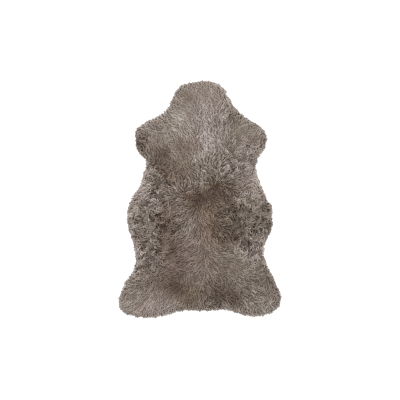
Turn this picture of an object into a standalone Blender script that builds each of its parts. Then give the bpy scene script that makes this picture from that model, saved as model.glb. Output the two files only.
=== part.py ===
"""Sheepskin rug: one tanned hide with its wool growing in it, laid flat with the wool up.

The rug is a single solid. Its underside is the flat skin, its outline and its gently uneven top
reach as far as the wool does, and the top rolls over to a low rim all round.
The neck points along +Y, and the origin is on the floor under the middle of the rug.
"""

import math

import bmesh
import bpy
from mathutils.kdtree import KDTree

# Driving dimensions, in metres
LENGTH = 0.95
WIDTH = 0.65
PILE_HEIGHT = 0.036
RIM_HEIGHT = 0.011
ROLL_WIDTH = 0.042

# The outline, clockwise from the nape: distance right of the spine, and distance from mid-length
# towards the neck. The skin is not quite symmetric.
NECK = (
    (0.018, 0.475), (0.062, 0.466), (0.095, 0.444), (0.116, 0.404), (0.141, 0.365),
)
RIGHT_FORELEG = (
    (0.190, 0.322), (0.240, 0.291), (0.265, 0.252), (0.261, 0.212), (0.239, 0.174),
)
RIGHT_FLANK = (
    (0.223, 0.135), (0.237, 0.074), (0.262, 0.015), (0.284, -0.018), (0.290, -0.060),
    (0.285, -0.120),
)
RIGHT_HIND_LEG = (
    (0.255, -0.196), (0.265, -0.258), (0.298, -0.324), (0.324, -0.402), (0.304, -0.440),
    (0.249, -0.465),
)
RUMP = (
    (0.188, -0.465), (0.105, -0.443), (0.015, -0.446), (-0.072, -0.446), (-0.140, -0.465),
)
LEFT_HIND_LEG = (
    (-0.206, -0.474), (-0.267, -0.467), (-0.311, -0.451), (-0.325, -0.416), (-0.306, -0.347),
    (-0.266, -0.284),
)
LEFT_FLANK = (
    (-0.260, -0.215), (-0.283, -0.125), (-0.294, -0.050), (-0.274, 0.005), (-0.242, 0.050),
    (-0.230, 0.090),
)
LEFT_FORELEG = (
    (-0.216, 0.149), (-0.244, 0.184), (-0.261, 0.242), (-0.251, 0.286), (-0.187, 0.324),
)
LEFT_NECK = (
    (-0.134, 0.358), (-0.110, 0.406), (-0.076, 0.455), (-0.032, 0.468),
)
OUTLINE = (
    NECK + RIGHT_FORELEG + RIGHT_FLANK + RIGHT_HIND_LEG + RUMP
    + LEFT_HIND_LEG + LEFT_FLANK + LEFT_FORELEG + LEFT_NECK
)
STEPS_PER_POINT = 7

# The tufts of wool that stand out along the edge, and how much the waves that make them stray:
# by how many radians, and over how many of their lengths across and along the skin
TUFT_DEPTH = 0.0018
TUFT_LENGTH = 0.036
TUFT_STRAY = 1.5
TUFT_STRAY_ACROSS = 0.37
TUFT_STRAY_ALONG = 0.41

# Where the top is lower than the full pile: centre from the spine and from mid-length, reach, depth
HOLLOWS = (
    (0.010, 0.005, 0.060, 0.006),
    (-0.130, -0.090, 0.055, 0.005),
    (0.120, -0.105, 0.060, 0.005),
    (-0.085, -0.335, 0.060, 0.006),
    (0.045, -0.400, 0.055, 0.006),
    (-0.150, 0.190, 0.050, 0.004),
)
PARTING_DEPTH = 0.004
PARTING_HALF_WIDTH = 0.018
PARTING_FROM = 0.02
PARTING_TO = -0.36
LUMP_DEPTH = 0.004
LUMP_LENGTH = 0.150
LUMP_STRAY = 1.3
LUMP_STRAY_RATE = 0.6
LUMP_RATE_ALONG = 0.8
LUMP_START = 0.7

# How far in the rolled edge's rings lie, as shares of its width, and the size of the top's cells
ROLL_RINGS = (0.14, 0.32, 0.58, 0.95)
CELL = 0.020

# Corners closer than this are one corner; places looked up along each straight piece of the rim
WELD = 0.0001
SPOTS_PER_EDGE = 4

SHARP_ANGLE = math.radians(50)
WOOL_COLOUR = (0.235, 0.195, 0.165, 1.0)
WOOL_ROUGHNESS = 0.9


def clear_scene():
    for old in list(bpy.data.objects):
        bpy.data.objects.remove(old, do_unlink=True)


def make_collection(name):
    collection = bpy.data.collections.new(name)
    bpy.context.scene.collection.children.link(collection)
    return collection


def make_material(name, colour, roughness):
    material = bpy.data.materials.new(name)
    material.use_nodes = True
    shader = material.node_tree.nodes["Principled BSDF"]
    shader.inputs["Base Color"].default_value = colour
    shader.inputs["Roughness"].default_value = roughness
    shader.inputs["Metallic"].default_value = 0.0
    return material


def skin_curve():
    """The outline as a smooth closed 2D curve, filled and as thick as the rim."""
    curve = bpy.data.curves.new("outline", "CURVE")
    curve.dimensions = "2D"
    curve.fill_mode = "BOTH"
    curve.extrude = RIM_HEIGHT / 2
    curve.resolution_u = STEPS_PER_POINT
    spline = curve.splines.new("BEZIER")
    spline.bezier_points.add(len(OUTLINE) - 1)
    for point, (right, forward) in zip(spline.bezier_points, OUTLINE):
        point.co = (right, forward, RIM_HEIGHT / 2)
        point.handle_left_type = "AUTO"
        point.handle_right_type = "AUTO"
    spline.use_cyclic_u = True
    return curve


def slab_from_curve():
    """The curve as a closed mesh with one face on top, one below and a wall between them."""
    guide = bpy.data.objects.new("outline", skin_curve())
    bpy.context.scene.collection.objects.link(guide)
    evaluated = guide.evaluated_get(bpy.context.evaluated_depsgraph_get())
    mesh = bpy.data.meshes.new_from_object(evaluated)
    bpy.data.objects.remove(guide, do_unlink=True)
    slab = bmesh.new()
    slab.from_mesh(mesh)
    bpy.data.meshes.remove(mesh)
    bmesh.ops.remove_doubles(slab, verts=slab.verts, dist=WELD)
    for level in (1, -1):
        cap = [face for face in slab.faces if face.normal.z * level > 0.5]
        bmesh.ops.dissolve_faces(slab, faces=cap)
    bmesh.ops.recalc_face_normals(slab, faces=slab.faces)
    return slab


def fit_to_size(slab):
    """Centre the outline on the origin and bring it to the exact length and width."""
    right = [vert.co.x for vert in slab.verts]
    forward = [vert.co.y for vert in slab.verts]
    middle_x = (min(right) + max(right)) / 2
    middle_y = (min(forward) + max(forward)) / 2
    scale_x = WIDTH / (max(right) - min(right))
    scale_y = LENGTH / (max(forward) - min(forward))
    for vert in slab.verts:
        vert.co.x = (vert.co.x - middle_x) * scale_x
        vert.co.y = (vert.co.y - middle_y) * scale_y


def ruffle(slab):
    """Sway the outline back and forth along its length, so that it runs in small uneven tufts."""
    turn = 2 * math.pi / TUFT_LENGTH
    for vert in slab.verts:
        x, y, _ = vert.co
        stray_x = TUFT_STRAY * math.sin(TUFT_STRAY_ACROSS * turn * x)
        stray_y = TUFT_STRAY * math.sin(TUFT_STRAY_ALONG * turn * y)
        vert.co.x += TUFT_DEPTH * math.sin(turn * y + stray_x)
        vert.co.y += TUFT_DEPTH * math.sin(turn * x + stray_y)


def top_face(slab):
    return max(slab.faces, key=lambda face: (face.normal.z, face.calc_area()))


def cut_rings(slab):
    """Inset the top face in rings, close together near the rim where it rolls over."""
    inner = top_face(slab)
    done = 0.0
    for share in ROLL_RINGS:
        bmesh.ops.inset_region(
            slab, faces=[inner], thickness=(share - done) * ROLL_WIDTH, use_even_offset=True
        )
        done = share
    return inner


def cut_cells(slab, inner):
    """Cut the flat middle of the top into square cells, small enough to follow its lumps."""
    cells = [inner]
    for axis, span in ((0, WIDTH), (1, LENGTH)):
        count = math.ceil(span / CELL)
        normal = [0.0, 0.0, 0.0]
        normal[axis] = 1.0
        for line in range(1, count):
            place = [0.0, 0.0, 0.0]
            place[axis] = -span / 2 + span * line / count
            touched = set(cells)
            for face in cells:
                touched.update(face.edges)
                touched.update(face.verts)
            result = bmesh.ops.bisect_plane(
                slab, geom=list(touched), plane_co=place, plane_no=normal, dist=WELD
            )
            cells = [part for part in result["geom"] if isinstance(part, bmesh.types.BMFace)]
    return cells


def rim_tree(slab):
    """Looks up the nearest point of the rim, from points spread along its straight pieces."""
    rim = [edge for edge in slab.edges if all(vert.co.z > RIM_HEIGHT / 2 for vert in edge.verts)
           and any(abs(face.normal.z) < 0.5 for face in edge.link_faces)]
    spots = []
    for edge in rim:
        start, end = (vert.co.copy() for vert in edge.verts)
        for step in range(SPOTS_PER_EDGE):
            spots.append(start.lerp(end, step / SPOTS_PER_EDGE))
    tree = KDTree(len(spots))
    for index, spot in enumerate(spots):
        tree.insert(spot, index)
    tree.balance()
    return tree


def bump(distance, reach):
    """One at the middle of a hollow or ridge, smoothly nothing far from it."""
    return math.exp(-((distance / reach) ** 2))


def dip(x, y):
    """How far the top lies under the full pile: the spine's parting, the hollows and the lumps."""
    depth = 0.0
    for centre_x, centre_y, reach, hollow in HOLLOWS:
        depth += hollow * bump(math.hypot(x - centre_x, y - centre_y), reach)
    middle = (PARTING_FROM + PARTING_TO) / 2
    along = bump(y - middle, (PARTING_FROM - PARTING_TO) / 2)
    depth += PARTING_DEPTH * bump(x, PARTING_HALF_WIDTH) * along
    turn = 2 * math.pi / LUMP_LENGTH
    stray = LUMP_STRAY * math.sin(LUMP_STRAY_RATE * turn * y)
    wave = math.sin(turn * x + stray) * math.cos(LUMP_RATE_ALONG * turn * y + LUMP_START)
    return depth + LUMP_DEPTH * (1 + wave) / 2


def raise_top(slab):
    """Give the top its height: low at the rim, rolled over, then the uneven pile."""
    tree = rim_tree(slab)
    for vert in slab.verts:
        if vert.co.z < RIM_HEIGHT / 2:
            continue
        _, _, distance = tree.find(vert.co)
        inward = min(distance / ROLL_WIDTH, 1.0)
        roll = math.sqrt(1 - (1 - inward) ** 2)
        vert.co.z = RIM_HEIGHT + (PILE_HEIGHT - dip(vert.co.x, vert.co.y) - RIM_HEIGHT) * roll


def make_sheepskin(collection):
    slab = slab_from_curve()
    inner = cut_rings(slab)
    ruffle(slab)
    fit_to_size(slab)
    cut_cells(slab, inner)
    raise_top(slab)
    bmesh.ops.triangulate(slab, faces=[face for face in slab.faces if face.normal.z > 0.1])
    mesh = bpy.data.meshes.new("sheepskin")
    slab.to_mesh(mesh)
    slab.free()
    mesh.shade_smooth()
    mesh.set_sharp_from_angle(angle=SHARP_ANGLE)
    mesh.materials.append(make_material("fleece", WOOL_COLOUR, WOOL_ROUGHNESS))
    sheepskin = bpy.data.objects.new("sheepskin", mesh)
    collection.objects.link(sheepskin)
    return sheepskin


def main():
    clear_scene()
    make_sheepskin(make_collection("sheepskin_rug"))


main()
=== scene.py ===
"""Sheepskin rug: one tanned hide with its own short, curly taupe wool, laid flat with the wool up.

The solid skin gives the outline and the height of the pile. On it go the suede hide, the dense
undercoat that closes the fleece, and the locks: long ones that stream away from the spine and
small tight curls on the flanks. The locks are grown as joined meshes, one for each part of the skin.
"""
import math

import bmesh
import bpy
import numpy as np
from bpy.props import FloatProperty, FloatVectorProperty, IntProperty, PointerProperty
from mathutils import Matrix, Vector
from mathutils.bvhtree import BVHTree


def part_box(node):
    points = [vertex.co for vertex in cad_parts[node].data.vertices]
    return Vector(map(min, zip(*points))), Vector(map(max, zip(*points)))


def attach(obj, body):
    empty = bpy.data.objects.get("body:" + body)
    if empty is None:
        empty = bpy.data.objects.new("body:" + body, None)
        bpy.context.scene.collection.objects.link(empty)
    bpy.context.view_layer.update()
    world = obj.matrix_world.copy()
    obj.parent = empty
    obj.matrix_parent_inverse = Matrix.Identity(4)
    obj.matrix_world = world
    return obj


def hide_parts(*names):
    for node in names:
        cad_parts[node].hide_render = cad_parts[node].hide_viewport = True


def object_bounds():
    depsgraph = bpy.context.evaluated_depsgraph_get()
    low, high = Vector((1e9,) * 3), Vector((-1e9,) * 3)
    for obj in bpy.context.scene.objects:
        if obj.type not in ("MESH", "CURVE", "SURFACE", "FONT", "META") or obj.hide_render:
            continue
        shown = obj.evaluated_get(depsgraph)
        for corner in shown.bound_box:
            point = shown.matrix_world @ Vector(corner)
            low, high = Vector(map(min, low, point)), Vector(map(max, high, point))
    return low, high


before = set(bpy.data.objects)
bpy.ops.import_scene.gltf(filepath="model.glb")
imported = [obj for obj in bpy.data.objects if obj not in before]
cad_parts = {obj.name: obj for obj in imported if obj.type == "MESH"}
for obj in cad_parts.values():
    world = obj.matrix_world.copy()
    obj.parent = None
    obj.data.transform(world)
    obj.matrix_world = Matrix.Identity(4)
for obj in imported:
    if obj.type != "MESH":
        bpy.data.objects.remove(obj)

bl_info = {
    "name": "Sheepskin Rug",
    "version": (1, 0, 0),
    "blender": (4, 5, 0),
    "location": "3D View > Sidebar > Sheepskin",
    "description": "Makes the hide, undercoat and wool locks of a sheepskin rug on its solid skin",
    "category": "Object",
}

SOLID = "sheepskin"
BODY = "root"
CAD_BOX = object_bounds()

# Corners closer than this are one corner; no divisor is less than TINY
WELD = 0.00001
TINY = 1e-6

# The parts that the fleece is grown in, from left to right: name, and where each ends across the
# rug, as a share of its width
FLEECE_PARTS = (
    ("fleece_left_side", 0.20),
    ("fleece_left_flank", 0.355),
    ("fleece_left_back", 0.50),
    ("fleece_right_back", 0.645),
    ("fleece_right_flank", 0.80),
    ("fleece_right_side", 1.0),
)

# Where the wool parts: across the shoulders, and from the whorl near their middle down the spine.
# The wool is tangled and shallow out to the whorl's reach.
PARTING_LEFT = (-0.035, -0.008)
PARTING_RIGHT = (0.060, 0.036)
WHORL = (0.018, 0.016)
WHORL_REACH = 0.060
SPINE_END = -0.300

# A lock's strands, and the least height of their paths over the floor, as a share of their radius
STRANDS_PER_LOCK = 2
LEAST_HEIGHT = 0.8

# What the wool's materials read off each lock
SHOWN = ("pigment", "warmth", "olive", "cream", "contrast")

# Where the wool is tightly curled: across, along, reach, how much
CURLY = (
    (-0.21, -0.07, 0.105, 1.0),
    (0.215, -0.07, 0.11, 1.0),
    (0.185, 0.17, 0.075, 0.9),
    (-0.165, 0.085, 0.06, 0.9),
    (0.11, 0.33, 0.06, 0.4),
    (-0.215, -0.225, 0.075, 0.9),
    (0.225, -0.215, 0.07, 0.9),
    (-0.24, 0.235, 0.05, 0.6),
    (0.27, -0.39, 0.06, 0.4),
    (0.05, -0.405, 0.045, 0.5),
    (-0.105, 0.015, 0.04, -0.35),
)

# Darker and paler places: across, along, half width, half length, change in tone, change in warmth
PATCHES = (
    (0.065, 0.04, 0.046, 0.04, -0.46, 0.5),
    (-0.022, -0.003, 0.044, 0.036, -0.38, 0.5),
    (0.025, -0.01, 0.052, 0.044, -0.26, 0.6),
    (0.118, -0.033, 0.046, 0.055, -0.42, 0.4),
    (0.12, -0.132, 0.062, 0.038, -0.44, 0.3),
    (0.135, 0.06, 0.032, 0.032, -0.22, 0.0),
    (0.1, 0.105, 0.036, 0.034, 0.2, -0.1),
    (0.21, 0.01, 0.06, 0.04, 0.22, 0.0),
    (0.25, -0.065, 0.045, 0.045, -0.3, 0.0),
    (-0.134, -0.1, 0.042, 0.068, -0.38, 0.5),
    (-0.11, -0.205, 0.052, 0.065, -0.36, 0.4),
    (-0.145, -0.31, 0.065, 0.04, -0.3, 0.2),
    (-0.095, -0.355, 0.065, 0.036, -0.44, 0.6),
    (-0.05, -0.405, 0.038, 0.03, -0.26, 0.6),
    (0.085, -0.38, 0.06, 0.042, -0.52, 0.1),
    (0.15, -0.405, 0.036, 0.036, -0.34, 0.0),
    (0.105, -0.285, 0.04, 0.036, -0.2, 0.3),
    (0.265, -0.335, 0.036, 0.036, -0.18, 0.0),
    (-0.155, 0.18, 0.038, 0.05, -0.52, 0.3),
    (-0.105, 0.105, 0.058, 0.046, -0.36, 0.4),
    (-0.15, 0.04, 0.042, 0.042, -0.18, 0.0),
    (-0.05, 0.125, 0.034, 0.04, -0.12, 0.2),
    (-0.238, 0.215, 0.034, 0.046, -0.46, 0.0),
    (-0.055, 0.215, 0.04, 0.034, -0.16, 0.4),
    (0.145, 0.33, 0.034, 0.034, -0.24, 0.1),
    (0.048, -0.105, 0.045, 0.08, -0.12, 0.7),
    (0.02, -0.21, 0.045, 0.08, -0.06, 0.2),
    # Painted highlight: the pale streak of sheen at the middle of the neck
    (0.038, 0.24, 0.038, 0.052, 0.72, -0.2),
    (0.0, 0.36, 0.11, 0.06, 0.16, -0.1),
    (-0.085, 0.297, 0.075, 0.045, 0.28, -0.2),
    (-0.01, 0.165, 0.028, 0.028, 0.2, 0.0),
    (0.195, 0.17, 0.07, 0.06, 0.08, -0.1),
    (-0.21, -0.435, 0.12, 0.04, 0.3, 0.0),
    (0.24, -0.43, 0.08, 0.04, 0.22, -0.1),
    (0.205, -0.2, 0.06, 0.036, 0.44, 0.0),
    (-0.255, -0.04, 0.055, 0.08, 0.2, -0.1),
    (-0.235, -0.15, 0.04, 0.035, -0.2, 0.0),
    (-0.215, -0.25, 0.045, 0.04, 0.42, 0.0),
    (-0.04, 0.405, 0.055, 0.03, -0.24, 0.1),
    (-0.1, 0.37, 0.034, 0.04, -0.2, 0.0),
    (0.055, 0.35, 0.034, 0.04, 0.26, -0.1),
    (0.205, 0.27, 0.05, 0.034, -0.14, 0.1),
    (-0.195, 0.0, 0.034, 0.034, 0.1, 0.0),
    (-0.095, 0.045, 0.03, 0.03, 0.14, 0.0),
    (-0.035, -0.055, 0.045, 0.038, -0.14, 0.0),
    (0.105, -0.185, 0.036, 0.034, -0.22, 0.2),
    (-0.07, -0.27, 0.045, 0.04, -0.1, 0.2),
    (-0.298, -0.345, 0.03, 0.03, 0.34, 0.0),
    (0.195, -0.345, 0.04, 0.034, -0.1, 0.0),
    (-0.01, -0.355, 0.06, 0.034, -0.06, 0.3),
)

# Where the wool turns olive, or with less than 0, mauve: across, along, reach, how much
OLIVE = (
    (0.165, -0.08, 0.08, 0.6),
    (0.1, 0.09, 0.05, 0.2),
    (-0.18, 0.08, 0.05, 0.4),
    (-0.245, 0.06, 0.06, -1.0),
    (0.24, 0.05, 0.06, -1.0),
    (0.13, -0.25, 0.06, 0.6),
    (-0.05, -0.4, 0.035, 0.9),
    (0.17, 0.3, 0.045, 0.7),
    (0.045, 0.35, 0.06, -0.7),
    # Mauve-silver under the painted highlight at the neck
    (0.045, 0.24, 0.045, -0.8),
    (0.2, 0.13, 0.045, -1.0),
    (0.24, -0.21, 0.04, -0.8),
    (-0.18, -0.42, 0.06, -0.7),
    (-0.08, -0.24, 0.06, -0.7),
    (0.08, -0.36, 0.045, -0.7),
    (0.03, -0.05, 0.045, -0.5),
    (0.015, -0.15, 0.05, -0.6),
    (0.015, -0.25, 0.06, -0.4),
)

# Where neighbouring locks differ more in colour, or less: across, along, reach, how much
CRISP = (
    (0.0, 0.09, 0.06, 0.5),
    (0.095, 0.11, 0.06, 0.55),
    (-0.08, 0.03, 0.06, 0.4),
    (-0.18, 0.05, 0.06, 0.45),
    (-0.11, -0.12, 0.06, 0.45),
    (-0.2, -0.13, 0.06, 0.3),
    (0.205, -0.165, 0.05, 0.5),
    (0.12, -0.04, 0.06, 0.35),
    (0.0, 0.45, 0.06, -0.55),
    (-0.095, 0.37, 0.06, -0.35),
    (0.09, 0.39, 0.05, -0.2),
    (0.2, 0.26, 0.06, -0.55),
    (-0.19, -0.445, 0.09, -0.35),
    (0.29, -0.37, 0.05, -0.4),
    (0.02, -0.22, 0.06, -0.1),
    (0.09, -0.14, 0.06, 0.4),
    (-0.2, -0.335, 0.045, 0.25),
    (0.2, -0.37, 0.05, 0.3),
    (0.205, 0.15, 0.045, -0.2),
    (0.215, -0.25, 0.05, -0.35),
    (-0.1, -0.37, 0.06, -0.25),
    (0.15, -0.26, 0.05, -0.3),
    (-0.08, 0.16, 0.06, -0.2),
)

# Where the edge shows pale, smooth wool: across, along, half width, half length, and how creamy
PALE_EDGES = (
    (-0.245, 0.075, 0.03, 0.075, 0.0),
    (0.232, 0.085, 0.034, 0.075, 0.0),
    (0.236, 0.08, 0.012, 0.034, 0.8),
    (0.255, -0.205, 0.016, 0.035, 0.0),
)


# ---- sizes and colours a user can change


def metres(name, description, default, least=0.0):
    """A length that a user can change."""
    return FloatProperty(name=name, description=description, default=default, min=least, unit="LENGTH")


class HideSettings(bpy.types.PropertyGroup):
    thickness: metres("Thickness", "Thickness of the tanned hide", 0.002, 0.001)
    inset: metres("Inset", "How far the wool reaches past the cut hide", 0.007)
    colour: FloatVectorProperty(
        name="Suede", description="Colour of the suede side", default=(0.52, 0.41, 0.30), subtype="COLOR",
        min=0.0, max=1.0,
    )


class FleeceSettings(bpy.types.PropertyGroup):
    spacing: metres("Lock spacing", "Distance between the roots of the long locks", 0.0073, 0.005)
    curl_spacing: metres("Curl spacing", "Distance between the roots of the curled locks", 0.0065, 0.005)
    width: metres("Strand width", "Widest part of one strand of a lock", 0.0041, 0.001)
    lay_length: metres("Long locks", "Length of the locks that lie along the back", 0.029, 0.01)
    curl_length: metres("Curled locks", "Length of the tight curls, uncurled", 0.030, 0.01)
    root_depth: metres("Root depth", "How far under the pile a lock starts", 0.012, 0.004)
    seed: IntProperty(name="Seed", description="Changes how the single locks fall", default=7, min=0)
    wool_colour: FloatVectorProperty(
        name="Wool", description="Colour of the silvery wool; where there is more pigment it is browner",
        default=(0.381, 0.332, 0.300), subtype="COLOR", min=0.0, max=1.0,
    )
    tip_pigment: FloatProperty(
        name="Tip pigment", description="How much pigment the tips have", default=0.96, min=0.3, max=2.0
    )
    # The roots' extra darkness: partly the wool's own pigment, partly painted shade in the gaps between the
    # locks
    root_pigment_and_shade: FloatProperty(
        name="Root pigment", description="How much more pigment the roots have", default=1.15, min=0.0,
        max=2.0,
    )
    cream_colour: FloatVectorProperty(
        name="Cream", description="Pale wool at the waists", default=(0.66, 0.60, 0.52), subtype="COLOR",
        min=0.0, max=1.0,
    )


class StageSettings(bpy.types.PropertyGroup):
    lens: FloatProperty(name="Lens", description="Focal length in millimetres", default=85.0, min=20.0)
    view_width: metres("View width", "Width of floor that the camera sees", 1.6035, 0.5)
    key_power: FloatProperty(
        name="Key light", description="Power of the key light", default=36.0, min=0.0, unit="POWER"
    )
    sky_strength: FloatProperty(
        name="Sky", description="Strength of the even white light", default=1.2, min=0.0
    )


# ---- the skin as maps


def rim_of(shell):
    """The skin's edge on the floor, as the corners of one closed loop in order."""
    neighbours = {}
    for edge in shell.edges:
        if sorted(face.normal.z < -0.5 for face in edge.link_faces) == [False, True]:
            for vert in edge.verts:
                neighbours.setdefault(vert, []).append(edge.other_vert(vert))
    loop = [next(iter(neighbours))]
    before = None
    while True:
        here = loop[-1]
        after = next(vert for vert in neighbours[here] if vert is not before)
        if after is loop[0]:
            break
        loop.append(after)
        before = here
    return np.array([vert.co[:2] for vert in loop])


def distance_to_loop(x, y, loop):
    """How far each place is from the nearest side of a closed loop."""
    nearest = np.full(x.shape, np.inf)
    for (ax, ay), (bx, by) in zip(loop, np.roll(loop, -1, axis=0)):
        along_x = bx - ax
        along_y = by - ay
        share = ((x - ax) * along_x + (y - ay) * along_y) / (along_x**2 + along_y**2)
        share = np.clip(share, 0, 1)
        nearest = np.minimum(nearest, np.hypot(x - ax - share * along_x, y - ay - share * along_y))
    return nearest


def softened(grid, times):
    """The grid with each value replaced by the mean of its neighbours, several times over."""
    for _ in range(times):
        padded = np.pad(grid, 1, mode="edge")
        grid = (padded[:-2, 1:-1] + padded[2:, 1:-1] + padded[1:-1, :-2] + padded[1:-1, 2:]) / 4
    return grid


def blended(grid, i, j, u, v):
    """A grid's value between four neighbouring points. After the last row or column comes the first."""
    next_i = (i + 1) % grid.shape[0]
    next_j = (j + 1) % grid.shape[1]
    near = grid[i, j] * (1 - v) + grid[i, next_j] * v
    far = grid[next_i, j] * (1 - v) + grid[next_i, next_j] * v
    return near * (1 - u) + far * u


class Skin:
    """The solid skin read as maps: how far in from the edge a place is, and how high the pile.

    The maps reach a margin past the solid. The pile overhangs its edge a little, and rounds down to it.
    """

    CELL = 0.004
    MARGIN = 0.030
    OVERHANG = 0.002
    ROUNDING = 0.016
    SMOOTHING = 6

    def __init__(self, solid):
        shell = bmesh.new()
        shell.from_mesh(solid.data)
        bmesh.ops.remove_doubles(shell, verts=shell.verts, dist=WELD)
        self.rim = rim_of(shell)
        low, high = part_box(solid.name)
        self.low = np.array(low[:2]) - self.MARGIN
        counts = np.ceil((np.array(high[:2]) + self.MARGIN - self.low) / self.CELL).astype(int)
        x = self.low[0] + self.CELL * np.arange(counts[0])
        y = self.low[1] + self.CELL * np.arange(counts[1])
        top = self.heights(BVHTree.FromBMesh(shell), x, y)
        shell.free()
        inside = top > 0
        self.x, self.y = np.meshgrid(x, y, indexing="ij")
        edge = distance_to_loop(self.x, self.y, self.rim)
        self.edge = np.where(inside, edge, -edge)
        rim_height = top[inside & (edge < self.CELL)].min()
        round_share = np.clip((self.edge + self.OVERHANG) / self.ROUNDING, 0, 1)
        rounded = np.sqrt(1 - (1 - round_share) ** 2)
        self.top = softened(np.where(inside, top, rim_height) * rounded, 1)
        slope_x, slope_y = np.gradient(softened(self.edge, self.SMOOTHING), self.CELL)
        steepness = np.maximum(np.hypot(slope_x, slope_y), TINY)
        self.out_x = -slope_x / steepness
        self.out_y = -slope_y / steepness

    @staticmethod
    def heights(tree, x, y):
        """How high the solid's top is over each point of a grid, and 0 beside it."""
        down = Vector((0, 0, -1))
        found = np.zeros((len(x), len(y)))
        for i, across in enumerate(x):
            for j, along in enumerate(y):
                place = tree.ray_cast(Vector((across, along, 1)), down)[0]
                if place is not None:
                    found[i, j] = place.z
        return found

    def sink(self, creases):
        """Lower the pile in the creases, which fade out towards the edge."""
        away_from_edge = np.clip(self.edge / creases.FADE, 0, 1)
        self.top = self.top - creases.DEPTH * creases.at(self.x, self.y) * away_from_edge

    def read(self, grid, x, y):
        """The grid's value at each place, blended between its four nearest points."""
        # Stops just short of the last point, so that there is always a next one
        last_u, last_v = np.array(grid.shape) - 1.001
        u = np.clip((x - self.low[0]) / self.CELL, 0, last_u)
        v = np.clip((y - self.low[1]) / self.CELL, 0, last_v)
        i = u.astype(int)
        j = v.astype(int)
        return blended(grid, i, j, u - i, v - j)

    def outward(self, x, y):
        """The direction out over the nearest edge, across and along."""
        return self.read(self.out_x, x, y), self.read(self.out_y, x, y)


# ---- how the wool grows


class Drift:
    """Numbers that wander slowly between 0 and 1 over the floor, over about the given distance."""

    COUNT = 64

    def __init__(self, chance, distance):
        self.table = chance.random((self.COUNT, self.COUNT))
        self.distance = distance

    def at(self, x, y):
        u = x / self.distance
        v = y / self.distance
        i = np.floor(u).astype(int)
        j = np.floor(v).astype(int)
        u = u - i
        v = v - j
        u = u * u * (3 - 2 * u)
        v = v * v * (3 - 2 * v)
        return blended(self.table, i % self.COUNT, j % self.COUNT, u, v)


def bump(x, y, across, along, half_width, half_length=None):
    """One at a place on the skin, falling smoothly to nothing far from it."""
    half_length = half_length or half_width
    return np.exp(-(((x - across) / half_width) ** 2) - ((y - along) / half_length) ** 2)


def charted(chart, x, y):
    """The sum of a chart's soft spots at each place."""
    return sum(amount * bump(x, y, across, along, reach) for across, along, reach, amount in chart)


def curliness(x, y):
    """From 0, where the wool lies in long locks, to 1, where it is tightly curled."""
    gain = 1.5
    start = 0.15
    return np.clip(gain * charted(CURLY, x, y) - start, 0, 1) * (1 - pale_edges(x, y)[0])


def patches(x, y):
    """How pale the wool is, about 1, and how warm its brown is, about 0."""
    tone = 1.0
    warmth = 0.0
    for across, along, half_width, half_length, paler, warmer in PATCHES:
        near = bump(x, y, across, along, half_width, half_length)
        tone = tone + paler * near
        warmth = warmth + warmer * near
    return tone, warmth


def pale_edges(x, y):
    """From 0 to 1, how much a place belongs to the pale, smooth edges, and how creamy it is."""
    pale = 0.0
    cream = 0.0
    for across, along, half_width, half_length, creamy in PALE_EDGES:
        near = bump(x, y, across, along, half_width, half_length)
        pale = np.maximum(pale, near)
        cream = cream + creamy * near
    return pale, cream


def crispness(x, y):
    """From 0.15, where the wool lies smooth and even, to over 1, where its locks stand out crisply."""
    least = 0.15
    usual = 0.58
    whorl_core = 0.050
    at_whorl = bump(x, y, *WHORL, whorl_core)
    crisp = usual + 0.50 * curliness(x, y) - 0.25 * at_whorl + charted(CRISP, x, y)
    return np.maximum(crisp * (1 - 0.7 * pale_edges(x, y)[0]), least)


def along_parting(x, y):
    """The nearest place on the parting across the shoulders."""
    across_x = PARTING_RIGHT[0] - PARTING_LEFT[0]
    across_y = PARTING_RIGHT[1] - PARTING_LEFT[1]
    share = (x - PARTING_LEFT[0]) * across_x + (y - PARTING_LEFT[1]) * across_y
    share = np.clip(share / (across_x**2 + across_y**2), 0, 1)
    return PARTING_LEFT[0] + share * across_x, PARTING_LEFT[1] + share * across_y


def stream(skin, x, y):
    """The direction that the wool is combed in: away from the parting and the spine, out at the edge."""
    parting_x, parting_y = along_parting(x, y)
    parting_width = 0.03
    ahead = np.clip((y - parting_y) / parting_width + 0.5, 0, 1)
    from_x = x - WHORL[0] - ahead * (parting_x - WHORL[0])
    from_y = y - np.clip(y, SPINE_END, parting_y)
    length = np.maximum(np.hypot(from_x, from_y), TINY)

    # Behind the parting, and beside it from further ahead, the wool also runs back towards the rump
    droop_start = parting_y + 0.02 + 0.9 * np.abs(from_x)
    droop_width = 0.06
    spine_width = 0.035
    behind = np.clip((droop_start - y) / droop_width, 0, 1)
    down = behind * (0.45 + 1.6 * np.exp(-((from_x / spine_width) ** 2)))
    side_reach = 0.032
    sideways = np.tanh(length / side_reach) / length

    edge_pull = 1.6
    edge_reach = 0.012
    outward = edge_pull * np.exp(-np.maximum(skin.read(skin.edge, x, y), 0) / edge_reach)
    out_x, out_y = skin.outward(x, y)
    lay_x = from_x * sideways + outward * out_x
    lay_y = from_y * sideways - down + outward * out_y
    return np.arctan2(lay_y, lay_x)


class Creases:
    """The creases that part the curled wool into tufts, and uncurled wool much less. The pile sinks in them,
    and the wool in them is painted darker: painted shade.

    They fade out over a distance from the edge. Their width is in the drift's own values.
    """

    DEPTH = 0.006
    FADE = 0.015
    WIDTH = 0.085
    UNCURLED = 0.12

    def __init__(self, chance):
        self.folds = Drift(chance, 0.021)
        self.breaks = Drift(chance, 0.014)

    def at(self, x, y):
        """From 0 on top of a tuft to 1 at the bottom of a crease."""
        fold = np.exp(-(((self.folds.at(x, y) - 0.5) / self.WIDTH) ** 2))
        broken = np.clip(2.4 * self.breaks.at(x, y) - 0.5, 0, 1)
        return fold * broken * (self.UNCURLED + (1 - self.UNCURLED) * curliness(x, y))


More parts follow.
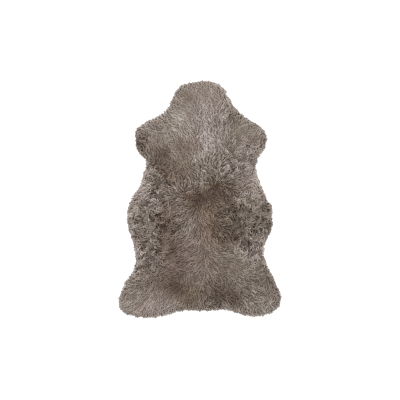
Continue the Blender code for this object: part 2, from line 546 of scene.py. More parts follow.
class Lay:
    """The way the wool really lies: the stream, drifting slowly, and broken into eddies by the curls.

    The amounts are how many radians it strays by, from side to side.
    """

    WANDERING = 1.3
    TANGLE = 0.8
    CURL_TANGLE = 5.5
    WHORL_TANGLE = 5.0

    def __init__(self, skin, chance):
        self.skin = skin
        self.wander = Drift(chance, 0.055)
        self.eddy = Drift(chance, 0.024)

    def at(self, x, y):
        at_whorl = bump(x, y, *WHORL, WHORL_REACH)
        tangled = self.TANGLE + self.CURL_TANGLE * curliness(x, y) + self.WHORL_TANGLE * at_whorl
        drifting = self.WANDERING * (self.wander.at(x, y) - 0.5)
        return stream(self.skin, x, y) + drifting + tangled * (self.eddy.at(x, y) - 0.5)


def scatter_roots(skin, chance, spacing, margin):
    """Root places over the whole skin, in offset rows, each moved a little at random."""
    rows = np.arange(skin.low[1], -skin.low[1], spacing * math.sqrt(0.75))
    columns = np.arange(skin.low[0], -skin.low[0], spacing)
    x, y = np.meshgrid(columns, rows)
    x = x + np.where(np.arange(len(rows)) % 2, spacing / 2, 0)[:, None]
    stray = 0.35 * spacing
    x = x + chance.uniform(-stray, stray, x.shape)
    y = y + chance.uniform(-stray, stray, y.shape)
    covered = skin.read(skin.edge, x, y) > margin
    return x[covered], y[covered]


def walk(skin, lay, roots, steps):
    """Follow each lock from its root to its tip over the pile, the way the wool lies there."""
    buried_share = 0.42
    surfacing = 1.6
    upright_at_root = 0.35
    stopping = 0.003
    least_stride = 0.08
    x = roots["x"].copy()
    y = roots["y"].copy()
    stride = roots["length"] / steps
    lowest = LEAST_HEIGHT * roots["radius"]
    points = []
    for step in range(steps + 1):
        share = step / steps
        buried = roots["depth"] * np.clip(1 - share / buried_share, 0, 1) ** surfacing
        turned = roots["curl"] * share
        lift = roots["lift"] * share + roots["loop"] * np.sin(turned + roots["phase"])
        height = skin.read(skin.top, x, y)
        z = np.maximum(height - buried + lift * min(1, 2 * share), lowest)
        points.append(np.stack([x, y, z], axis=1))
        waved = roots["crimp"] * np.sin(2 * math.pi * roots["waves"] * share + roots["phase"])
        heading = lay.at(x, y) + roots["sway"] + turned + waved
        step_x = np.cos(heading)
        step_y = np.sin(heading)
        slope = (skin.read(skin.top, x + stride * step_x, y + stride * step_y) - height) / stride
        lying = min(1.0, upright_at_root + 1.8 * share)
        past = np.clip((skin.read(skin.edge, x, y) + roots["outreach"]) / stopping, least_stride, 1)
        forward = stride * lying * past / np.sqrt(1 + slope**2)
        x = x + forward * step_x
        y = y + forward * step_y
    return np.stack(points, axis=1)


def unit(vectors):
    return vectors / np.maximum(np.linalg.norm(vectors, axis=-1, keepdims=True), TINY)


def frames_along(points):
    """A side and an upper direction at each point of each path, without twist between points."""
    ahead = np.concatenate([points[:, 1:], points[:, -1:]], axis=1)
    behind = np.concatenate([points[:, :1], points[:, :-1]], axis=1)
    tangent = unit(ahead - behind)
    side = unit(np.cross((0.0, 0.0, 1.0), tangent[:, 0]))
    sides = []
    for step in range(points.shape[1]):
        along = tangent[:, step]
        side = unit(side - along * (side * along).sum(axis=1, keepdims=True))
        sides.append(side)
    sides = np.stack(sides, axis=1)
    return sides, np.cross(tangent, sides)


def strands_of(locks, points, count, chance):
    """The strands of each lock: they wind round its path and draw together towards its tip."""
    sides, ups = frames_along(points)
    share = np.linspace(0, 1, points.shape[1])[None, :]
    tip_width = 0.16
    flatness = 0.7
    narrowing = tip_width + (1 - tip_width) * (1 - share) ** 0.8
    paths = []
    for strand in range(count):
        turned = 2 * math.pi * strand / count + locks["phase"][:, None] + locks["twist"][:, None] * share
        stray = chance.uniform(0.7, 1.3, len(points))
        reach = (locks["bundle"] * stray)[:, None] * narrowing
        across = (reach * np.cos(turned))[:, :, None] * sides
        upward = (flatness * reach * np.sin(turned))[:, :, None] * ups
        paths.append(points + across + upward)
    paths = np.stack(paths, axis=1).reshape(-1, *points.shape[1:])
    strands = {key: np.repeat(value, count) for key, value in locks.items()}
    strands["radius"] = strands["radius"] * chance.uniform(0.85, 1.15, len(paths))
    strands["own"] = chance.random(len(paths))
    paths[:, :, 2] = np.maximum(paths[:, :, 2], LEAST_HEIGHT * strands["radius"][:, None])
    return strands | {"points": paths}


# ---- meshes


def deselect_all():
    if bpy.context.object is not None and bpy.context.object.mode != "OBJECT":
        bpy.ops.object.mode_set(mode="OBJECT")
    bpy.ops.object.select_all(action="DESELECT")


def choose(piece):
    deselect_all()
    piece.select_set(True)
    bpy.context.view_layer.objects.active = piece


def strand_girth(share):
    """How thick a lock is along its length: fuller in the middle, fine at the tip."""
    return (0.70 + 0.9 * share - 1.15 * share**2) * (1 - share**6)


def model_strand(name, rings):
    """One straight lock of unit length: a three-sided stem that swells and runs out to a tip."""
    deselect_all()
    bpy.ops.mesh.primitive_circle_add(vertices=3, radius=strand_girth(0), fill_type="NGON")
    lock = bpy.context.object
    lock.name = name
    bpy.ops.object.mode_set(mode="EDIT")
    bpy.ops.mesh.select_all(action="SELECT")
    for ring in range(1, rings + 1):
        bpy.ops.mesh.extrude_region_move(TRANSFORM_OT_translate={"value": (0, 0, 1 / rings)})
        if ring < rings:
            girth = strand_girth(ring / rings) / strand_girth((ring - 1) / rings)
            bpy.ops.transform.resize(value=(girth, girth, 1))
    bpy.ops.mesh.merge(type="CENTER")
    bpy.ops.mesh.select_all(action="SELECT")
    bpy.ops.mesh.normals_make_consistent(inside=False)
    bpy.ops.object.mode_set(mode="OBJECT")
    return lock


def wrap_of(mesh):
    """For each face corner of a lock, its place round the stem and along it, both from 0 to 1."""
    wrap = np.zeros((len(mesh.loops), 2))
    for face in mesh.polygons:
        middle = math.atan2(face.center.y, face.center.x)
        for corner in face.loop_indices:
            place = mesh.vertices[mesh.loops[corner].vertex_index].co
            on_axis = math.hypot(place.x, place.y) < WELD
            turn = 0.0 if on_axis else math.atan2(place.y, place.x) - middle
            turn = (turn + math.pi) % (2 * math.pi) - math.pi
            wrap[corner] = ((middle + turn) / (2 * math.pi) + 0.5, place.z)
    return wrap


class StrandShape:
    """A straight lock's mesh as arrays, ready to be bent along many paths."""

    def __init__(self, name, rings):
        lock = model_strand(name, rings)
        mesh = lock.data
        self.rings = rings
        self.places = np.array([vert.co[:] for vert in mesh.vertices])
        self.level = np.rint(self.places[:, 2] * rings).astype(int)
        self.corners = np.array([corner.vertex_index for corner in mesh.loops])
        self.starts = np.array([face.loop_start for face in mesh.polygons])
        self.wrap = wrap_of(mesh)
        bpy.data.objects.remove(lock)
        bpy.data.meshes.remove(mesh)


def bend_strands(shape, points, radius):
    """A copy of the lock along each path: all their corners, as locks by corners by 3."""
    sides, ups = frames_along(points)
    flatness = 0.75
    spread = radius[:, None, None]
    across = sides[:, shape.level] * shape.places[None, :, :1] * spread
    upward = ups[:, shape.level] * shape.places[None, :, 1:2] * spread * flatness
    return points[:, shape.level] + across + upward


def set_numbers(mesh, name, values):
    layer = mesh.attributes.new(name, "FLOAT", "POINT")
    layer.data.foreach_set("value", np.ascontiguousarray(values, dtype=np.float32).ravel())


def set_map(mesh, name, places):
    layer = mesh.uv_layers.new(name=name)
    layer.uv.foreach_set("vector", np.ascontiguousarray(places, dtype=np.float32).ravel())


def join_strands(name, batches):
    """One mesh of all the locks in the batches, each batch being a shape and its locks' facts."""
    total = sum(len(batch["radius"]) for _, batch in batches)
    if total == 0:
        raise RuntimeError(f"{name} has no locks")
    columns = math.ceil(math.sqrt(total))
    cell = 1 / columns
    gap = 0.10 * cell
    # Shifts each lock's fibres, so that no two locks have the same
    own_shift = 7
    corners, loops, starts, wraps, homes = [], [], [], [], []
    facts = {key: [] for key in ("along", *SHOWN)}
    corner_count = 0
    loop_count = 0
    lock_count = 0
    for shape, batch in batches:
        locks = len(batch["radius"])
        number = np.arange(locks)[:, None]
        corners.append(bend_strands(shape, batch["points"], batch["radius"]).reshape(-1, 3))
        loops.append((corner_count + len(shape.places) * number + shape.corners).ravel())
        starts.append((loop_count + len(shape.corners) * number + shape.starts).ravel())
        wraps.append((shape.wrap + own_shift * batch["own"][:, None, None]).reshape(-1, 2))
        place = lock_count + number
        home = np.hstack([place % columns, place // columns]) * cell + gap
        homes.append((home[:, None, :] + shape.wrap * (cell - 2 * gap)).reshape(-1, 2))
        facts["along"].append(np.tile(shape.places[:, 2], locks))
        for key in SHOWN:
            facts[key].append(np.repeat(batch[key], len(shape.places)))
        corner_count += locks * len(shape.places)
        loop_count += locks * len(shape.corners)
        lock_count += locks
    mesh = bpy.data.meshes.new(name)
    mesh.vertices.add(corner_count)
    mesh.vertices.foreach_set("co", np.concatenate(corners).astype(np.float32).ravel())
    mesh.loops.add(loop_count)
    mesh.loops.foreach_set("vertex_index", np.concatenate(loops).astype(np.int32))
    mesh.polygons.add(sum(len(start) for start in starts))
    mesh.polygons.foreach_set("loop_start", np.concatenate(starts).astype(np.int32))
    mesh.update(calc_edges=True)
    mesh.shade_smooth()
    set_map(mesh, "strand", np.concatenate(wraps))
    set_map(mesh, "OFBake", np.concatenate(homes))
    for key, values in facts.items():
        set_numbers(mesh, key, np.concatenate(values))
    piece = bpy.data.objects.new(name, mesh)
    bpy.context.scene.collection.objects.link(piece)
    return piece


def copy_of_solid(name):
    """A welded copy of the solid skin, free to be reshaped, selected and in edit mode."""
    piece = bpy.data.objects.new(name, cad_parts[SOLID].data.copy())
    bpy.context.scene.collection.objects.link(piece)
    piece.data.materials.clear()
    choose(piece)
    bpy.ops.object.mode_set(mode="EDIT")
    bpy.ops.mesh.select_all(action="SELECT")
    bpy.ops.mesh.remove_doubles(threshold=WELD)
    return piece


def select_faces(piece, wanted):
    """Select the faces for which wanted(face) is true. The piece is in edit mode before and after."""
    bpy.ops.mesh.select_all(action="DESELECT")
    bpy.ops.mesh.select_mode(type="FACE")
    edit = bmesh.from_edit_mesh(piece.data)
    for face in edit.faces:
        face.select_set(wanted(face))
    bmesh.update_edit_mesh(piece.data)


def corners_of(piece):
    return np.array([vert.co[:] for vert in piece.data.vertices])


def move_corners(piece, places):
    piece.data.vertices.foreach_set("co", places.astype(np.float32).ravel())
    piece.data.update()


def draw_in(piece, skin, distance):
    """Move each corner of the piece in from the skin's edge by a distance."""
    places = corners_of(piece)
    out_x, out_y = skin.outward(places[:, 0], places[:, 1])
    places[:, 0] -= distance * out_x
    places[:, 1] -= distance * out_y
    move_corners(piece, places)


def apply_modifiers(piece):
    choose(piece)
    for modifier in list(piece.modifiers):
        bpy.ops.object.modifier_apply(modifier=modifier.name)


# ---- materials


class Value:
    """A shader socket that takes part in sums. Each sum adds its Math node."""

    def __init__(self, recipe, socket):
        self.recipe = recipe
        self.socket = socket

    def sum_with(self, operation, first, second):
        return self.recipe.node("ShaderNodeMath", {"operation": operation}, {0: first, 1: second})

    def __add__(self, other):
        return self.sum_with("ADD", self, other)

    __radd__ = __add__

    def __sub__(self, other):
        return self.sum_with("SUBTRACT", self, other)

    def __rsub__(self, other):
        return self.sum_with("SUBTRACT", other, self)

    def __mul__(self, other):
        return self.sum_with("MULTIPLY", self, other)

    __rmul__ = __mul__


class Recipe:
    """A material's node tree, built from calls that read like its formula."""

    def __init__(self, name):
        self.material = bpy.data.materials.new(name)
        self.material.use_nodes = True
        self.tree = self.material.node_tree
        self.shader = self.tree.nodes["Principled BSDF"]

    def feed(self, socket, value):
        if isinstance(value, Value):
            self.tree.links.new(value.socket, socket)
        elif socket.type == "VECTOR":
            socket.default_value = value[:3]
        else:
            socket.default_value = value

    def node(self, kind, settings=None, values=None, output=0):
        """A node of a kind, with its settings made first and then its sockets fed."""
        made = self.tree.nodes.new(kind)
        for key, setting in (settings or {}).items():
            if key == "stops":
                self.set_stops(made.color_ramp, setting)
            else:
                setattr(made, key, setting)
        for key, value in (values or {}).items():
            self.feed(made.inputs[key], value)
        return Value(self, made.outputs[output])

    @staticmethod
    def set_stops(ramp, stops):
        for _ in range(len(stops) - 2):
            ramp.elements.new(0.5)
        for element, (place, colour) in zip(ramp.elements, stops):
            element.position = place
            element.color = colour

    def attribute(self, name):
        return self.node("ShaderNodeAttribute", {"attribute_name": name}, output="Fac")

    def places(self):
        return self.node("ShaderNodeTexCoord", output="Object")

    def noise(self, where, scale, detail=2.0, roughness=0.5):
        values = {"Vector": where, "Scale": scale, "Detail": detail, "Roughness": roughness}
        return self.node("ShaderNodeTexNoise", {}, values)

    def ramp(self, share, stops):
        return self.node("ShaderNodeValToRGB", {"stops": stops}, {"Fac": share})

    def mixed(self, first, second, share):
        """Two colours, from the first where share is 0 to the second where it is 1."""
        return self.node(
            "ShaderNodeMix", {"data_type": "RGBA"}, {"Factor": share, 6: first, 7: second}, output=2
        )

    def scaled(self, colour, amount):
        return self.node("ShaderNodeVectorMath", {"operation": "SCALE"}, {0: colour, "Scale": amount})

    def product(self, first, second):
        """Two colours multiplied."""
        return self.node("ShaderNodeVectorMath", {"operation": "MULTIPLY"}, {0: first, 1: second})

    def bumped(self, height, strength, distance):
        return self.node("ShaderNodeBump", {}, {"Height": height, "Strength": strength, "Distance": distance})

    def finish(self, **looks):
        """Feed the shader's own sockets, whose names are given with _ for a space."""
        for key, value in looks.items():
            self.feed(self.shader.inputs[key.replace("_", " ")], value)
        return self.material


def rgba(colour):
    return (*colour, 1.0)


def suede(settings):
    """The tanned flesh side and cut edge of the hide: pale, matt and finely napped."""
    recipe = Recipe("suede")
    where = recipe.places()
    cloudy = recipe.noise(where, 14.0, 4.0)
    nap = recipe.noise(where, 900.0, 3.0, 0.65)
    pores = recipe.noise(where, 260.0, 2.0)
    pale = rgba(settings.colour)
    darker = rgba([0.72 * part for part in settings.colour])
    colour = recipe.mixed(darker, pale, cloudy * 0.8 + nap * 0.35)
    return recipe.finish(
        Base_Color=colour,
        Roughness=nap * 0.1 + 0.85,
        Normal=recipe.bumped(nap * 0.6 + pores * 0.4, 0.5, 0.0006),
        Specular_IOR_Level=0.2,
    )


def pigmented(recipe, settings, pigment):
    """The wool's colour for an amount of pigment: with more of it the wool is darker and browner."""
    most = 3.6
    steps = 9
    shares = [step / steps for step in range(steps + 1)]
    stops = [(share, rgba([part ** (most * share) for part in settings.wool_colour])) for share in shares]
    return recipe.ramp(pigment * (1 / most), stops)


def root_darkening(recipe, settings):
    """How much darker the roots are, the more so where the locks differ more: partly the wool's own darker
    roots, partly painted shade in the gaps between the locks.
    """
    return (recipe.attribute("contrast") * 0.90 + 0.20) * settings.root_pigment_and_shade


def tinted(recipe, colour, where, warmth):
    """The wool's colour turned a little: warm by an amount, and olive or mauve in slow drifts."""
    brown = (1.12, 0.97, 0.82, 1.0)
    olive = (0.985, 1.012, 0.965, 1.0)
    mauve = (1.012, 0.99, 1.012, 1.0)
    drifting = recipe.noise(where, 9.0, 1.0) * 1.6 - 0.8
    drift = recipe.mixed(mauve, olive, recipe.attribute("olive") + drifting)
    warm = recipe.mixed((1.0, 1.0, 1.0, 1.0), brown, warmth)
    return recipe.product(recipe.product(colour, drift), warm)


def undercoat_wool(settings):
    """The dense short wool between the locks: matted and without gloss, and dark like the roots, partly from
    its own pigment and partly from painted shade in the gaps between the locks.
    """
    recipe = Recipe("undercoat_wool")
    where = recipe.places()
    tufts = recipe.noise(where, 160.0, 3.0, 0.6)
    fibres = recipe.noise(where, 1100.0, 2.0)
    # As dark as the roots: partly their pigment, partly painted shade in the gaps between the locks
    pigment = recipe.attribute("pigment") + settings.tip_pigment + root_darkening(recipe, settings) * 0.9
    colour = pigmented(recipe, settings, pigment + (0.5 - tufts) * 1.2)
    return recipe.finish(
        Base_Color=tinted(recipe, colour, where, recipe.attribute("warmth") * 0.5 + 0.32),
        Roughness=fibres * 0.08 + 0.88,
        Normal=recipe.bumped(tufts * 0.7 + fibres * 0.3, 0.8, 0.003),
        Specular_IOR_Level=0.15,
    )


def lock_wool(settings):
    """The locks: dark at the root and pale at the tip, with fine fibres along them. The dark roots are partly
    the wool's own colour and partly painted shade in the gaps between the locks.
    """
    recipe = Recipe("lock_wool")
    along = recipe.attribute("along")
    where = recipe.places()
    strand = recipe.node("ShaderNodeUVMap", {"uv_map": "strand"})
    drawn_out = recipe.node(
        "ShaderNodeMapping", {"vector_type": "POINT"}, {"Vector": strand, "Scale": (26.0, 2.2, 1.0)}
    )
    fibres = recipe.noise(drawn_out, 1.0, 2.0)
    cloudy = recipe.noise(where, 55.0, 3.0)
    # Darker towards the root: partly the wool's own pigment, partly painted shade in the gaps between the
    # locks
    darker = (1.0 - along) * root_darkening(recipe, settings)
    pigment = recipe.attribute("pigment") + darker + settings.tip_pigment
    wool = pigmented(recipe, settings, pigment + (0.5 - fibres) * 0.5 + (0.5 - cloudy) * 0.4)
    # The cream wool also darkens towards the root, with the same painted shade
    cream = recipe.scaled(rgba(settings.cream_colour), along * 0.4 + 0.6)
    warmth = recipe.attribute("warmth") + (1.0 - along) * 0.7 - 0.25
    colour = recipe.mixed(tinted(recipe, wool, where, warmth), cream, recipe.attribute("cream"))
    return recipe.finish(
        Base_Color=colour,
        Roughness=fibres * 0.25 + 0.48,
        Normal=recipe.bumped(fibres, 0.35, 0.0005),
        Specular_IOR_Level=0.35,
        Sheen_Weight=0.20,
        Sheen_Roughness=0.5,
        Sheen_Tint=(0.92, 0.88, 0.86, 1.0),
    )


def floor_white():
    recipe = Recipe("floor_white")
    grain = recipe.noise(recipe.places(), 3.0)
    pale = recipe.mixed((0.93, 0.93, 0.93, 1.0), (0.96, 0.96, 0.96, 1.0), grain)
    return recipe.finish(
        Base_Color=pale,
        Roughness=0.9,
        Specular_IOR_Level=0.0,
        # The floor also glows a little: painted light that brightens the rug's shadow on it
        Emission_Color=pale,
        Emission_Strength=0.3,
    )


def dress(piece, material):
    """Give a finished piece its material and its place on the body."""
    piece.data.materials.append(material)
    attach(piece, BODY)


# ---- the pieces


# What every piece reads: the skin's maps, and the drifts, which are drawn once in this order
SKIN = Skin(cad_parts[SOLID])
FIELD_SEED = 3
FIELD_CHANCE = np.random.default_rng(FIELD_SEED)
LAY = Lay(SKIN, FIELD_CHANCE)
CREASES = Creases(FIELD_CHANCE)
TUFTS = Drift(FIELD_CHANCE, 0.022)
SKIN.sink(CREASES)


def colours_at(x, y):
    """The pigment, warmth and cream of the wool at a place, and how much the locks there differ. The pigment
    also carries painted shade in the creases, and painted light towards the neck and at the neck's highlight.
    """
    tone, warmth = patches(x, y)
    edge = np.maximum(SKIN.read(SKIN.edge, x, y), 0)
    neck_start = 0.05
    neck_width = 0.25
    rim_width = 0.020
    painted_light_to_neck = np.clip((y - neck_start) / neck_width, 0, 1)
    pale_edge, cream = pale_edges(x, y)
    # Paler towards the neck: painted light from the neck side. A little paler near the rim as well
    tone = tone + 0.12 * painted_light_to_neck + 0.07 * np.exp(-edge / rim_width)
    tone = tone + 0.35 * pale_edge
    darkest = 0.25
    # Darker places gain pigment faster than paler ones lose it
    shaded = np.log(np.maximum(tone, darkest)) * np.where(tone < 1, -1.45, -1.0)
    # Painted shade: the wool is darker in the creases. The tufts drift paler and darker at random
    crease_shade_and_tufts = 0.85 * CREASES.at(x, y) + 0.45 * (TUFTS.at(x, y) - 0.5)
    crisp = crispness(x, y)
    return {
        "pigment": shaded + crease_shade_and_tufts * (1 - 0.8 * pale_edge) + 0.30 * (0.85 - crisp),
        "warmth": np.clip(0.08 + warmth + 0.4 * np.clip(1 - tone, 0, 1), 0, 1),
        "cream": np.clip(cream, 0, 1),
        "olive": 0.5 + charted(OLIVE, x, y),
        "contrast": crisp,
    }


def lock_facts(x, y, chance, settings):
    """The facts that every lock has, whatever its shape: its girth and chance turns."""
    count = len(x)
    crisp = crispness(x, y)
    return {
        "x": x,
        "y": y,
        "crisp": crisp,
        "dark": chance.random(count),
        "phase": chance.uniform(0, 2 * math.pi, count),
        "side": np.where(chance.random(count) < 0.5, -1.0, 1.0),
        "radius": settings.width / 2 * chance.uniform(0.75, 1.25, count) * (0.70 + 0.30 * crisp),
    }


# How each kind of lock falls: the two ends of each fact's range, drawn by chance in this order.
# Lengths and depths of long and curled locks are shares of the settings'.
LONG_LOCK = dict(
    length=(0.75, 1.25), sway=(-0.3, 0.3), curl=(0.0, 0.5), crimp=(0.35, 0.80), waves=(1.5, 2.5),
    lift=(-0.00192, 0.00128), outreach=(0.0020, 0.0048), bundle=(0.00136, 0.00204), twist=(1.0, 3.0),
)
CURLED_LOCK = dict(
    length=(0.8, 1.2), depth=(0.8, 1.2), sway=(-0.5, 0.5), curl=(0.8, 3.8), crimp=(0.0, 0.25),
    waves=(1.0, 2.0), loop=(0.0008, 0.0016), lift=(-0.0027, 0.0018), outreach=(0.0019, 0.0041),
    bundle=(0.00112, 0.00168), twist=(1.0, 3.0),
)
EDGE_LOCK = dict(
    length=(0.014, 0.026), sway=(-0.75, 0.75), depth=(0.006, 0.014), curl=(0.0, 2.4),
    lift=(0.0, -0.003), outreach=(0.0021, 0.0044),
)


def drawn(ranges, facts, chance):
    """Facts drawn for every lock. A lock curls and twists towards its own side."""
    own = {}
    for key, (start, end) in ranges.items():
        own[key] = start + (end - start) * chance.random(len(facts["x"]))
        if key in ("curl", "twist"):
            own[key] = own[key] * facts["side"]
    return own


def long_locks(facts, settings, chance):
    """Long locks: they lie along the stream, a little crimped, and bunch to a point.

    At the whorl they are shorter and start near the top of the pile.
    """
    own = drawn(LONG_LOCK, facts, chance)
    at_whorl = bump(facts["x"], facts["y"], *WHORL, WHORL_REACH)
    own["length"] *= settings.lay_length * (1 - 0.40 * at_whorl)
    own["depth"] = settings.root_depth * (1 - 0.75 * at_whorl) * (0.45 + 0.55 * facts["crisp"])
    own["lift"] *= facts["crisp"]
    flat_loop = 0.0006
    own["loop"] = np.full(len(at_whorl), flat_loop)
    return facts | own


def curled_locks(facts, settings, chance):
    """Tight curls: each turns round on itself, some one way and some the other."""
    own = drawn(CURLED_LOCK, facts, chance)
    own["length"] *= settings.curl_length
    own["depth"] *= settings.root_depth
    return facts | own


def edge_locks(facts, settings, chance):
    """Short, stout, more curled locks that fall over the edge of the hide."""
    stouter = 1.15
    own = long_locks(facts, settings, chance) | drawn(EDGE_LOCK, facts, chance)
    own["radius"] = stouter * own["radius"]
    return own


def pick(facts, chosen):
    return {key: value[chosen] for key, value in facts.items()}


def grown(locks, shape, chance):
    """The strands of all the locks, with their paths and colours."""
    paths = walk(SKIN, LAY, locks, shape.rings)
    showing = paths[:, 2 * shape.rings // 3]
    coloured = locks | colours_at(showing[:, 0], showing[:, 1])
    strands = strands_of(coloured, paths, STRANDS_PER_LOCK, chance)
    dark = 0.85 * strands["dark"] + 0.15 * strands["own"] - 0.5
    differing = np.where(dark > 0, 1.30, 0.95) * dark * strands["contrast"]
    strands["pigment"] = strands["pigment"] + differing
    return strands


def place_across(share):
    """Where a share of the rug's width from its left side is."""
    low, high = CAD_BOX
    return low.x + share * (high.x - low.x)


def places_on_rim(chance, spacing):
    """Places strewn along the skin's edge, so many that they lie about a spacing apart."""
    loop = SKIN.rim
    sides = np.roll(loop, -1, axis=0) - loop
    lengths = np.linalg.norm(sides, axis=1)
    total = lengths.sum()
    spot = np.sort(chance.uniform(0, total, int(total / spacing)))
    ends = np.cumsum(lengths)
    side = np.minimum(np.searchsorted(ends, spot), len(loop) - 1)
    share = 1 - (ends[side] - spot) / lengths[side]
    return (loop[side] + sides[side] * share[:, None]).T


class RUG_OT_lay_hide(bpy.types.Operator):
    """Cut the hide a little smaller than the wool reaches, and lay it suede side down"""

    bl_idname = "rug.lay_hide"
    bl_label = "Lay hide"

    def execute(self, context):
        settings = context.scene.rug_hide
        hide = copy_of_solid("hide")
        select_faces(hide, lambda face: face.normal.z > -0.9)
        bpy.ops.mesh.delete(type="FACE")
        bpy.ops.mesh.select_all(action="SELECT")
        bpy.ops.mesh.dissolve_faces()
        bpy.ops.object.mode_set(mode="OBJECT")
        draw_in(hide, SKIN, settings.inset)
        walls = hide.modifiers.new("walls", "SOLIDIFY")
        walls.thickness = settings.thickness
        walls.offset = -1.0
        rounding = hide.modifiers.new("rounding", "BEVEL")
        rounding.width = 0.2 * settings.thickness
        rounding.segments = 2
        rounding.limit_method = "ANGLE"
        hide.modifiers.new("triangles", "TRIANGULATE")
        apply_modifiers(hide)
        if not hide.data.polygons:
            raise RuntimeError("the hide has no surface")
        dress(hide, suede(settings))
        return {"FINISHED"}


class RUG_OT_fill_undercoat(bpy.types.Operator):
    """Fill the pile with the dense undercoat that the locks stand in"""

    bl_idname = "rug.fill_undercoat"
    bl_label = "Fill undercoat"

    def execute(self, context):
        gap = 0.0002
        thinnest = 0.001
        least_sunk = 0.0020
        crisp_sunk = 0.0040
        inset = 0.0055
        lump_height = 0.004
        lump_size = 0.012
        flat_rim = 0.006
        floor = context.scene.rug_hide.thickness + gap
        wool = copy_of_solid("undercoat")
        select_faces(wool, lambda face: face.normal.z > 0.05)
        bpy.ops.mesh.subdivide(number_cuts=1)
        bpy.ops.object.mode_set(mode="OBJECT")
        places = corners_of(wool)
        x, y, height = places.T
        sunk = least_sunk + crisp_sunk * crispness(x, y)
        top = np.maximum(np.minimum(height, SKIN.read(SKIN.top, x, y)) - sunk, floor + thinnest)
        places[:, 2] = np.where(height < WELD, floor, top)
        move_corners(wool, places)
        draw_in(wool, SKIN, inset)
        tufts = bpy.data.textures.new("tufts", "CLOUDS")
        tufts.noise_scale = lump_size
        lumps = wool.modifiers.new("lumps", "DISPLACE")
        lumps.texture = tufts
        lumps.direction = "Z"
        lumps.strength = lump_height
        lumps.mid_level = 0.5
        group = wool.vertex_groups.new(name="top")
        raised = [vert.index for vert in wool.data.vertices if vert.co.z > floor + flat_rim]
        if not raised:
            raise RuntimeError("the undercoat has no pile")
        group.add(raised, 1.0, "REPLACE")
        lumps.vertex_group = group.name
        apply_modifiers(wool)
        wool.data.shade_smooth()
        colours = colours_at(*corners_of(wool)[:, :2].T)
        for key in ("pigment", "warmth", "olive", "contrast"):
            set_numbers(wool.data, key, colours[key])
        dress(wool, undercoat_wool(context.scene.rug_fleece))
        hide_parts(SOLID)
        return {"FINISHED"}


class RUG_OT_grow_fleece(bpy.types.Operator):
    """Grow the locks over the whole skin, one mesh for each part of it"""

    bl_idname = "rug.grow_fleece"
    bl_label = "Grow fleece"

    def execute(self, context):
        settings = context.scene.rug_fleece
        chance = np.random.default_rng(settings.seed)
        material = lock_wool(settings)
        bare_rim = 0.003
        kinds = (
            (StrandShape("long_strand", 6), long_locks, settings.spacing, False),
            (StrandShape("curled_strand", 8), curled_locks, settings.curl_spacing, True),
        )
        batches = []
        for shape, kind, spacing, curly in kinds:
            x, y = scatter_roots(SKIN, chance, spacing, bare_rim)
            curled_here = curliness(x, y) > chance.uniform(0.25, 0.75, len(x))
            kept = curled_here == curly
            locks = kind(lock_facts(x[kept], y[kept], chance, settings), settings, chance)
            batches.append((shape, grown(locks, shape, chance)))
        left = place_across(0.0)
        for name, share in FLEECE_PARTS:
            right = place_across(share)
            here = []
            for shape, batch in batches:
                here.append((shape, pick(batch, (batch["x"] >= left) & (batch["x"] < right))))
            dress(join_strands(name, here), material)
            left = right
        return {"FINISHED"}


class RUG_OT_trim_edge(bpy.types.Operator):
    """Grow the fringe of wool that hangs over the hide's edge down to the floor"""

    bl_idname = "rug.trim_edge"
    bl_label = "Grow edge wool"

    def execute(self, context):
        settings = context.scene.rug_fleece
        chance = np.random.default_rng(settings.seed + 1)
        shape = StrandShape("edge_strand", 5)
        crowding = 3
        x, y = places_on_rim(chance, settings.curl_spacing / crowding)
        inward = chance.uniform(0.003, 0.010, len(x))
        out_x, out_y = SKIN.outward(x, y)
        facts = lock_facts(x - inward * out_x, y - inward * out_y, chance, settings)
        strands = grown(edge_locks(facts, settings, chance), shape, chance)
        dress(join_strands("fleece_edge", [(shape, strands)]), lock_wool(settings))
        return {"FINISHED"}


def add_floor():
    under_rug = -0.0005
    deselect_all()
    bpy.ops.mesh.primitive_plane_add(size=40, location=(0, 0, under_rug))
    floor = bpy.context.object
    floor.name = "floor"
    floor.data.materials.append(floor_white())


def add_key_light(power):
    """One large soft light beyond the neck, to the left, aimed at the middle of the rug."""
    deselect_all()
    bpy.ops.object.light_add(type="AREA", location=(-1.0, 1.6, 2.6))
    light = bpy.context.object
    light.name = "key_light"
    light.data.shape = "DISK"
    light.data.size = 1.6
    light.data.energy = power
    light.visible_camera = False
    light.rotation_mode = "QUATERNION"
    light.rotation_quaternion = (-light.location).to_track_quat("-Z", "Y")


def add_sky(strength):
    world = bpy.data.worlds.new("studio")
    world.use_nodes = True
    sky = world.node_tree.nodes["Background"]
    sky.inputs["Color"].default_value = (1.0, 1.0, 1.0, 1.0)
    sky.inputs["Strength"].default_value = strength
    bpy.context.scene.world = world


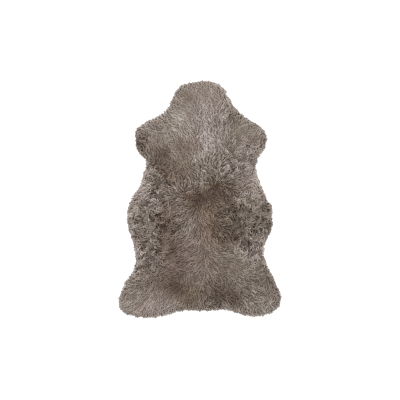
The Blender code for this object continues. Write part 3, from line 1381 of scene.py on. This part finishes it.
def add_camera(settings):
    """A camera straight above the rug, with as much floor in view as the settings say."""
    sensor = 36.0
    low, high = CAD_BOX
    lowered = 0.002 * settings.view_width
    centre_y = (low.y + high.y) / 2 - lowered
    camera = bpy.data.objects.new("camera", bpy.data.cameras.new("camera"))
    camera.data.lens = settings.lens
    camera.data.sensor_width = sensor
    camera.data.clip_end = 100.0
    camera.location = ((low.x + high.x) / 2, centre_y, settings.view_width * settings.lens / sensor)
    bpy.context.scene.collection.objects.link(camera)
    bpy.context.scene.camera = camera


class RUG_OT_set_stage(bpy.types.Operator):
    """Set the pale floor, the soft light and the camera straight above the rug"""

    bl_idname = "rug.set_stage"
    bl_label = "Set stage"

    def execute(self, context):
        settings = context.scene.rug_stage
        add_floor()
        add_key_light(settings.key_power)
        add_sky(settings.sky_strength)
        add_camera(settings)
        context.scene.view_settings.view_transform = "Standard"
        context.scene.cycles.use_denoising = False
        context.scene.cycles.filter_width = 1.4
        return {"FINISHED"}


class RUG_PT_panel(bpy.types.Panel):
    """The rug's settings and the steps that make it"""

    bl_label = "Sheepskin Rug"
    bl_space_type = "VIEW_3D"
    bl_region_type = "UI"
    bl_category = "Sheepskin"

    def draw(self, context):
        for settings in (context.scene.rug_hide, context.scene.rug_fleece, context.scene.rug_stage):
            box = self.layout.box()
            for key in type(settings).__annotations__:
                box.prop(settings, key)
        for step in STEPS:
            self.layout.operator(step.bl_idname)


SETTINGS = {"rug_hide": HideSettings, "rug_fleece": FleeceSettings, "rug_stage": StageSettings}
STEPS = (RUG_OT_lay_hide, RUG_OT_fill_undercoat, RUG_OT_grow_fleece, RUG_OT_trim_edge, RUG_OT_set_stage)


def register():
    for kind in (*SETTINGS.values(), *STEPS, RUG_PT_panel):
        bpy.utils.register_class(kind)
    for name, kind in SETTINGS.items():
        setattr(bpy.types.Scene, name, PointerProperty(type=kind))


def unregister():
    for name in SETTINGS:
        delattr(bpy.types.Scene, name)
    for kind in reversed((*SETTINGS.values(), *STEPS, RUG_PT_panel)):
        bpy.utils.unregister_class(kind)


def main():
    register()
    bpy.ops.rug.lay_hide()
    bpy.ops.rug.fill_undercoat()
    bpy.ops.rug.grow_fleece()
    bpy.ops.rug.trim_edge()
    bpy.ops.rug.set_stage()


if __name__ == "__main__":
    main()
